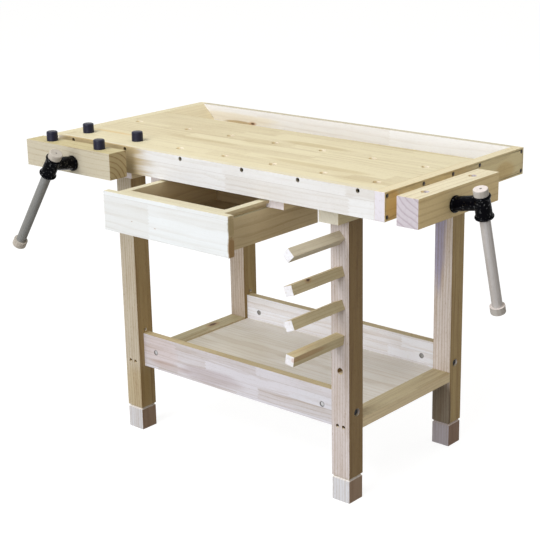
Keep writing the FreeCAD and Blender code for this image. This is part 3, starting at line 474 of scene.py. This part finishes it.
# Each board: its tones, grain, the way its staves lie side by side, their width and length, and how
# strong its figure is.
BOARDS = {
    "worktop_panel": (TOP, X, Y, (0.042, 0.42), 0.8),
    "front_apron": (PALE, X, Z, (0.065, 0.36), 0.5),
    "rear_rail": (REAR, X, Z, (0.065, 0.45), 0.4),
    "end_cap_left": (TOP, Y, Z, None, 0.9),
    "end_cap_right": (CAP, Y, Z, None, 1.0),
    "front_bearer": (RAIL, X, Z, None, 0.8),
    "well_rail": (RAIL, X, Z, None, 0.7),
    "well_floor": (TOP, X, Y, None, 0.6),
    "well_ramp": (TOP, Y, X, None, 0.6),
    "front_jaw": (JAW, X, Z, None, 1.3),
    "end_jaw": (CROSS_JAW, Y, Z, None, 1.0),
    "leg_front_left": (OLIVE_LEG, Z, Y, (0.026, 9.0), 1.5),
    "leg_front_right": (LEG, Z, Y, (0.026, 9.0), 1.5),
    "leg_rear_left": (LIT_REAR_LEFT_LEG, Z, Y, (0.026, 9.0), 1.5),
    "leg_rear_right": (LIT_REAR_RIGHT_LEG, Z, Y, (0.026, 9.0), 1.5),
    "foot_front_left": (FOOT, Z, Y, None, 1.0),
    "foot_front_right": (FOOT, Z, Y, None, 1.0),
    "foot_rear_left": (FOOT, Z, Y, None, 1.0),
    "foot_rear_right": (FOOT, Z, Y, None, 1.0),
    "top_rail_left": (RAIL, Y, Z, None, 0.8),
    "top_rail_right": (CREAM_RAIL, Y, Z, None, 0.8),
    "stretcher_front": (STRETCHER, X, Z, (0.0303, 0.28), 0.9),
    "stretcher_rear": (LIT_REAR_STRETCHER, X, Z, (0.0303, 0.31), 0.75),
    "side_rail_left": (CREAM_RAIL, Y, X, (0.026, 0.5), 1.1),
    "side_rail_right": (RAIL, Y, X, (0.026, 0.5), 0.9),
    "shelf_panel": (PLY, X, Y, None, 0.7),
    "peg_1": (PEG, Y, X, None, 0.8),
    "peg_2": (PEG, Y, X, None, 0.8),
    "peg_3": (PEG, Y, X, None, 0.8),
    "peg_4": (PEG, Y, X, None, 0.8),
    "drawer_front": (DRAWER, X, Z, (0.095, 0.5), 0.4),
    "drawer_lining": (DRAWER, X, Z, None, 0.8),
    "drawer_back": (SHADED_INSIDE, X, Z, None, 0.8),
    "drawer_side_left": (DRAWER, Y, Z, None, 0.9),
    "drawer_side_right": (DRAWER, Y, Z, None, 0.9),
    "drawer_bottom": (SHADED_INSIDE, X, Y, None, 0.8),
    "runner_left": (RAIL, Y, Z, None, 0.7),
    "runner_right": (RAIL, Y, Z, None, 0.7),
}

# Where the tree's middle lies from the board's, across and through it, how far apart its rings are, and
# their strength and tone on the ends.
PLAIN_RINGS = ((0.03, 0.11), 0.0075, 0.1, BROWN)
RINGS = {
    "front_jaw": ((-0.05, 0.05), 0.0125, 0.75, BROWN),
    "end_jaw": ((0.09, 0.055), 0.0125, 0.85, (0.74, 0.68, 0.70, 1.0)),
}

# Knots: where they are, how large, and how far they are drawn out along the grain.
KNOTS = {
    "rear_rail": ((212, 539, 763, 5, 2.5),),
    "side_rail_left": ((170, 396, 205, 10, 2.2),),
    "peg_2": ((886, -45, 587, 6.5, 1.5),),
    "drawer_front": ((447, -152, 671, 0.9, 2.5), (523, -152, 666, 0.8, 4.0)),
}

# Patches of another tone: their middle, their reach along X, Y and Z, the tone and its share. Most are
# the wood's own tone; those noted below are painted shade.
# A darker tone: stains on the worktop, and painted shadow of the handle with dust on the front jaw.
STAIN_AND_SHADE = (0.80, 0.74, 0.62)
WARM = (0.94, 0.78, 0.52)
# Near black: painted shade in the holes.
HOLE_SHADE = (0.04, 0.035, 0.03)
PATCHES = {
    "worktop_panel": [((650, 280, 800), (125, 16, 9), STAIN_AND_SHADE, 0.8),
                      ((800, 110, 800), (170, 17, 9), STAIN_AND_SHADE, 0.7),
                      ((860, 374, 800), (210, 7, 9), STAIN_AND_SHADE, 0.8),
                      ((120, 108, 800), (85, 9, 9), WARM, 0.7),
                      ((365, 171, 800), (125, 15, 9), STAIN_AND_SHADE, 0.6),
                      ((520, 230, 800), (60, 30, 9), STAIN_AND_SHADE, 0.4),
                      ((950, 60, 800), (80, 22, 9), STAIN_AND_SHADE, 0.4)],
    # The first patch is a painted shadow along the gap at the worktop's rear edge.
    "rear_rail": [((165, 539, 760), (60, 9, 6), (0.62, 0.50, 0.32), 0.9),
                  ((130, 539, 772), (170, 9, 16), (0.97, 0.90, 0.74), 0.8)],
    "leg_front_left": [((190, 60, 110), (60, 60, 85), (0.90, 0.83, 0.66), 0.8)],
    # A tan stave at the apron's left end, darkened further as painted shadow of the front jaw.
    "front_apron": [((170, 0, 768), (196, 9, 150), (0.62, 0.47, 0.22), 0.92)],
    # Painted shadow of the handle, with dust, on the front jaw's face.
    "front_jaw": [((110, -105, 790), (60, 9, 14), STAIN_AND_SHADE, 0.8),
                  ((250, -105, 745), (50, 9, 26), STAIN_AND_SHADE, 0.5),
                  ((60, -105, 750), (40, 9, 18), STAIN_AND_SHADE, 0.6),
                  ((200, -105, 795), (40, 9, 10), STAIN_AND_SHADE, 0.8)],
    "shelf_panel": [((330, 300, 245), (330, 300, 60), (0.84, 0.81, 0.73), 0.8),
                    ((560, 170, 245), (190, 60, 60), (0.80, 0.75, 0.66), 0.6)],
    "end_cap_right": [((1060, 475, 757), (6, 45, 22), (0.86, 0.74, 0.56), 0.7),
                      ((1060, 26, 767), (5, 26, 40), (0.94, 0.76, 0.50), 0.8)],
    "peg_4": [((878, -50, 433), (16, 90, 9), (0.96, 0.76, 0.66), 0.9),
              ((890, -60, 415), (9, 90, 7), (0.80, 0.62, 0.50), 0.8)],
    "stretcher_front": [((263, 96, 235), (70, 9, 45), (1.0, 0.93, 0.90), 0.8),
                        ((440, 96, 205), (110, 9, 22), (0.80, 0.75, 0.74), 0.9),
                        ((787, 96, 218), (90, 9, 40), (0.98, 1.0, 1.0), 0.8),
                        ((300, 96, 200), (80, 9, 10), (0.86, 0.80, 0.76), 0.9)],
    "drawer_front": [((752, -143, 706), (5, 16, 27), (0.63, 0.60, 0.51), 1.0),
                     ((752, -143, 658), (5, 16, 27), (0.48, 0.36, 0.24), 1.0)],
    "leg_front_right": [((850, 40, 640), (14, 9, 200), (0.97, 0.93, 0.92), 0.8),
                        ((866, 40, 150), (12, 9, 130), (0.94, 0.88, 0.82), 0.8)],
    "leg_rear_right": [((860, 496, 610), (26, 9, 200), (0.56, 0.60, 0.96), 0.85),
                       ((878, 496, 105), (60, 9, 85), (0.24, 0.21, 0.15), 0.95)],
    "foot_rear_right": [((878, 520, 30), (90, 90, 90), (0.80, 0.73, 0.74), 1.0)],
}

# Holes painted dark as shade: the way they run, their radius in millimetres and where they are.
SHADED_HOLES = {
    "front_apron": (Y, 4.6, [(x, 2, 793.5) for x in (82, 271.5, 461, 657, 823, 989)]),
    "end_cap_left": (X, 4.6, [(0, 143, 791), (0, 257, 791), (0, 366, 791), (0, 9, 791), (0, 9, 744)]),
    "end_cap_right": (X, 4.6, [(1060, 143, 791), (1060, 257, 791), (1060, 366, 791), (1060, 9, 791),
                               (1060, 9, 744), (1060, 548, 791), (1060, 548, 744)]),
    "stretcher_front": (Y, 6.2, [(247, 97, 226), (808.5, 97, 226)]),
    "stretcher_rear": (Y, 6.2, [(247, 508, 226), (808.5, 508, 226)]),
    "leg_front_right": (X, 8.6, [(900, 107.5, 226)]),
    "leg_rear_right": (X, 8.6, [(900, 519, 226)]),
    "leg_front_left": (X, 8.6, [(210, 107.5, 226)]),
}

# The loose bar through each vise's hub: its own direction, a direction across it, and its tones.
HANDLES = {
    "front": (Vector((0.549022818, 0, 0.835807361)), Y, FRONT_BAR, FRONT_CAP),
    "end": (Vector((0, -0.280666709, 0.959805292)), X, END_BAR, END_CAP),
}


def marks(node):
    """A board's patches, and painted shade in its holes as patches that run a little way in."""
    found = list(PATCHES.get(node, ()))
    if node in SHADED_HOLES:
        way, radius, places = SHADED_HOLES[node]
        reach = tuple(30.0 if axis else radius * 1.2 for axis in way)
        found += [(place, reach, HOLE_SHADE, 1.0) for place in places]
    return found


def make_woods():
    """All squared boards, then the turned bars and caps."""
    for index, (node, (tones, grain, across, staves, contrast)) in enumerate(BOARDS.items()):
        dress(node, wood(node + ".wood", tones, grain, across, staves, contrast, middle(node),
                         RINGS.get(node, PLAIN_RINGS), KNOTS.get(node, ()), marks(node), index * 1.37))
        ease(node, EASED_EDGE)
    for name, (grain, across, bar_tones, cap_tones) in HANDLES.items():
        for part, tones in (("bar", bar_tones), ("caps", cap_tones)):
            node = "%s_handle_%s" % (name, part)
            dress(node, wood(node + ".wood", tones, grain, across, None, 0.7, middle(node), PLAIN_RINGS,
                             seed=50.0 + len(node)))


# ---------------------------------------------------------------- metal and plastic


def black_casting():
    """Gloss black enamel over cast iron, a little uneven."""
    material, tree, shader, coords = fresh("black_casting")
    grain = noise(tree, coords.outputs["Object"], 3.0, 900.0)
    lumps = noise(tree, coords.outputs["Object"], 2.0, 90.0)
    dust = noise(tree, coords.outputs["Object"], 4.0, 260.0).smooth(0.55, 0.8)
    color = blend(tree, dust * 0.25, (0.001, 0.001, 0.002, 1.0), (0.012, 0.012, 0.014, 1.0))
    glint = noise(tree, coords.outputs["Object"], 2.0, 210.0).smooth(0.60, 0.68)
    tree.links.new(color, shader.inputs["Base Color"])
    feed(tree, shader.inputs["Roughness"], lumps * 0.16 + dust * 0.12 + 0.10)
    feed(tree, shader.inputs["Specular IOR Level"], glint * 0.7 + 0.03)
    raise_surface(tree, shader, lumps + grain * 0.15, 0.0004)
    return material


def dog_plastic():
    """Blue-black hard rubber with a fine matt skin."""
    material, tree, shader, coords = fresh("dog_black")
    skin = noise(tree, coords.outputs["Object"], 3.0, 2200.0)
    scuff = noise(tree, coords.outputs["Object"], 4.0, 140.0).smooth(0.52, 0.78)
    color = blend(tree, scuff * 0.35, (0.007, 0.007, 0.020, 1.0), (0.030, 0.030, 0.055, 1.0))
    tree.links.new(color, shader.inputs["Base Color"])
    feed(tree, shader.inputs["Roughness"], skin * 0.12 + 0.36)
    shader.inputs["Specular IOR Level"].default_value = 0.25
    raise_surface(tree, shader, skin, 0.00008)
    return material


def turned_steel(name, shade, rough):
    """Bright steel with fine turning marks and a few stains."""
    material, tree, shader, coords = fresh(name)
    turning = noise(tree, coords.outputs["Object"], 2.0, 1600.0)
    stain = noise(tree, coords.outputs["Object"], 4.0, 55.0).smooth(0.5, 0.8)
    bright = (shade, shade, shade * 1.01, 1.0)
    stained = (shade * 0.5, shade * 0.46, shade * 0.4, 1.0)
    color = blend(tree, stain * 0.45, bright, stained)
    tree.links.new(color, shader.inputs["Base Color"])
    shader.inputs["Metallic"].default_value = 1.0
    feed(tree, shader.inputs["Roughness"], turning * 0.18 + stain * 0.2 + rough)
    raise_surface(tree, shader, turning, 0.00005)
    return material


def new_piece(name, points, faces, body, material):
    """A smooth mesh that moves with a body."""
    mesh = bpy.data.meshes.new(name)
    mesh.from_pydata(points, [], faces)
    for face in mesh.polygons:
        face.use_smooth = len(face.vertices) == 4
    mesh.materials.append(material)
    piece = bpy.data.objects.new(name, mesh)
    bpy.context.scene.collection.objects.link(piece)
    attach(piece, body)
    return piece


def grid_faces(rows, around):
    """The faces between neighbouring rings of points."""
    return [(row * around + k, row * around + (k + 1) % around, (row + 1) * around + (k + 1) % around,
             (row + 1) * around + k) for row in range(rows) for k in range(around)]


# The screws' thread, in metres: its lead and depth, the plain neck before it, the length over which it
# fades in, and the bevel at the ends. The groove's half width and flank are shares of the lead.
LEAD = 0.005
THREAD_DEPTH = 0.0022
PLAIN_NECK = 0.0575
THREAD_FADE = 0.004
END_BEVEL = 0.0015
GROOVE_HALF = 0.30
GROOVE_FLANK = 0.13
THREAD_ROWS = 440
THREAD_AROUND = 40

# The small screw heads, in metres. The slot's reach is a share of the head's radius.
HEAD_RADIUS = 0.0034
HEAD_RISE = 0.0009
HEAD_ROWS = 14
HEAD_AROUND = 48
SLOT_DEPTH = 0.0006
SLOT_HALF = 0.00045
SLOT_REACH = 0.72


def threaded_rod(node, inwards, body, material):
    """A vise screw with its thread, in the place of the smooth rod of the CAD."""
    low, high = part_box(node)
    center = (low + high) / 2
    length = abs((high - low).dot(inwards))
    crest = (high.z - low.z) / 2
    side = Z.cross(inwards)
    points = []
    for row in range(THREAD_ROWS + 1):
        far = length * row / THREAD_ROWS
        fade = min(max((far - PLAIN_NECK) / THREAD_FADE, 0.0), 1.0)
        edge = END_BEVEL - min(far, length - far, END_BEVEL)
        for k in range(THREAD_AROUND):
            groove = abs((far / LEAD - k / THREAD_AROUND) % 1.0 - 0.5)
            cut = min(max((GROOVE_HALF - groove) / GROOVE_FLANK, 0.0), 1.0) * fade
            angle = math.tau * k / THREAD_AROUND
            radius = crest - max(THREAD_DEPTH * cut, edge)
            out = side * math.cos(angle) + Z * math.sin(angle)
            points.append(center + inwards * (far - length / 2) + out * radius)
    faces = grid_faces(THREAD_ROWS, THREAD_AROUND)
    last = THREAD_ROWS * THREAD_AROUND
    for ring in (range(THREAD_AROUND - 1, -1, -1), range(last, last + THREAD_AROUND)):
        points.extend(points[k].copy() for k in ring)
        faces.append(tuple(range(len(points) - THREAD_AROUND, len(points))))
    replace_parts(new_piece(node + "_thread", points, faces, body, material), node)


def cross_screw(name, place, way, across, body, material):
    """A small domed screw head with a cross slot."""
    other = way.cross(across)
    points = [place + way * (HEAD_RISE - SLOT_DEPTH)]
    for row in range(1, HEAD_ROWS + 1):
        radius = HEAD_RADIUS * row / HEAD_ROWS
        for k in range(HEAD_AROUND):
            angle = math.tau * k / HEAD_AROUND
            one, two = radius * math.cos(angle), radius * math.sin(angle)
            slotted = min(abs(one), abs(two)) < SLOT_HALF and radius < HEAD_RADIUS * SLOT_REACH
            height = HEAD_RISE * (1.0 - (radius / HEAD_RADIUS) ** 2) - (SLOT_DEPTH if slotted else 0.0)
            points.append(place + across * one + other * two + way * height)
    faces = [(0, 1 + k, 1 + (k + 1) % HEAD_AROUND) for k in range(HEAD_AROUND)]
    faces += [tuple(1 + corner for corner in face) for face in grid_faces(HEAD_ROWS - 1, HEAD_AROUND)]
    new_piece(name, points, faces, body, material)


def make_metals():
    """Castings, rods, screws and dogs."""
    cast = black_casting()
    for node in ("front_hub", "end_hub", "front_bracket", "end_bracket"):
        dress(node, cast)
    steel = turned_steel("screw_steel", 0.62, 0.22)
    for node in ("front_guide_rods", "end_guide_rods", "front_collar", "end_collar"):
        dress(node, steel)
    zinc = turned_steel("zinc", 0.5, 0.3)
    dress("barrel_nuts", zinc)
    # The stretcher bolts are near black: painted shade of the holes they sit in.
    dress("stretcher_bolts", turned_steel("bolts_in_painted_shade", 0.035, 0.42))
    dress("frame_screws", turned_steel("black_screws", 0.006, 0.45))
    for name, inwards in (("front", Y), ("end", -X)):
        threaded_rod(name + "_spindle", inwards, name + "_screw", steel)
    dark = turned_steel("dark_screws", 0.05, 0.3)
    for name, (axis, across, _, _) in HANDLES.items():
        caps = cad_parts[name + "_handle_caps"]
        heights = [(caps.matrix_world @ vertex.co).dot(axis) for vertex in caps.data.vertices]
        half = (max(heights) - min(heights)) / 2
        for end, way in (("high", axis), ("low", -axis)):
            cross_screw("%s_cap_screw_%s" % (name, end), middle(caps.name) + way * half, way, across,
                        name + "_handle", dark)
    rubber = dog_plastic()
    for number in range(1, 5):
        dress("dog_%d" % number, rubber)


make_camera()
make_light()
make_floor()
make_woods()
make_metals()
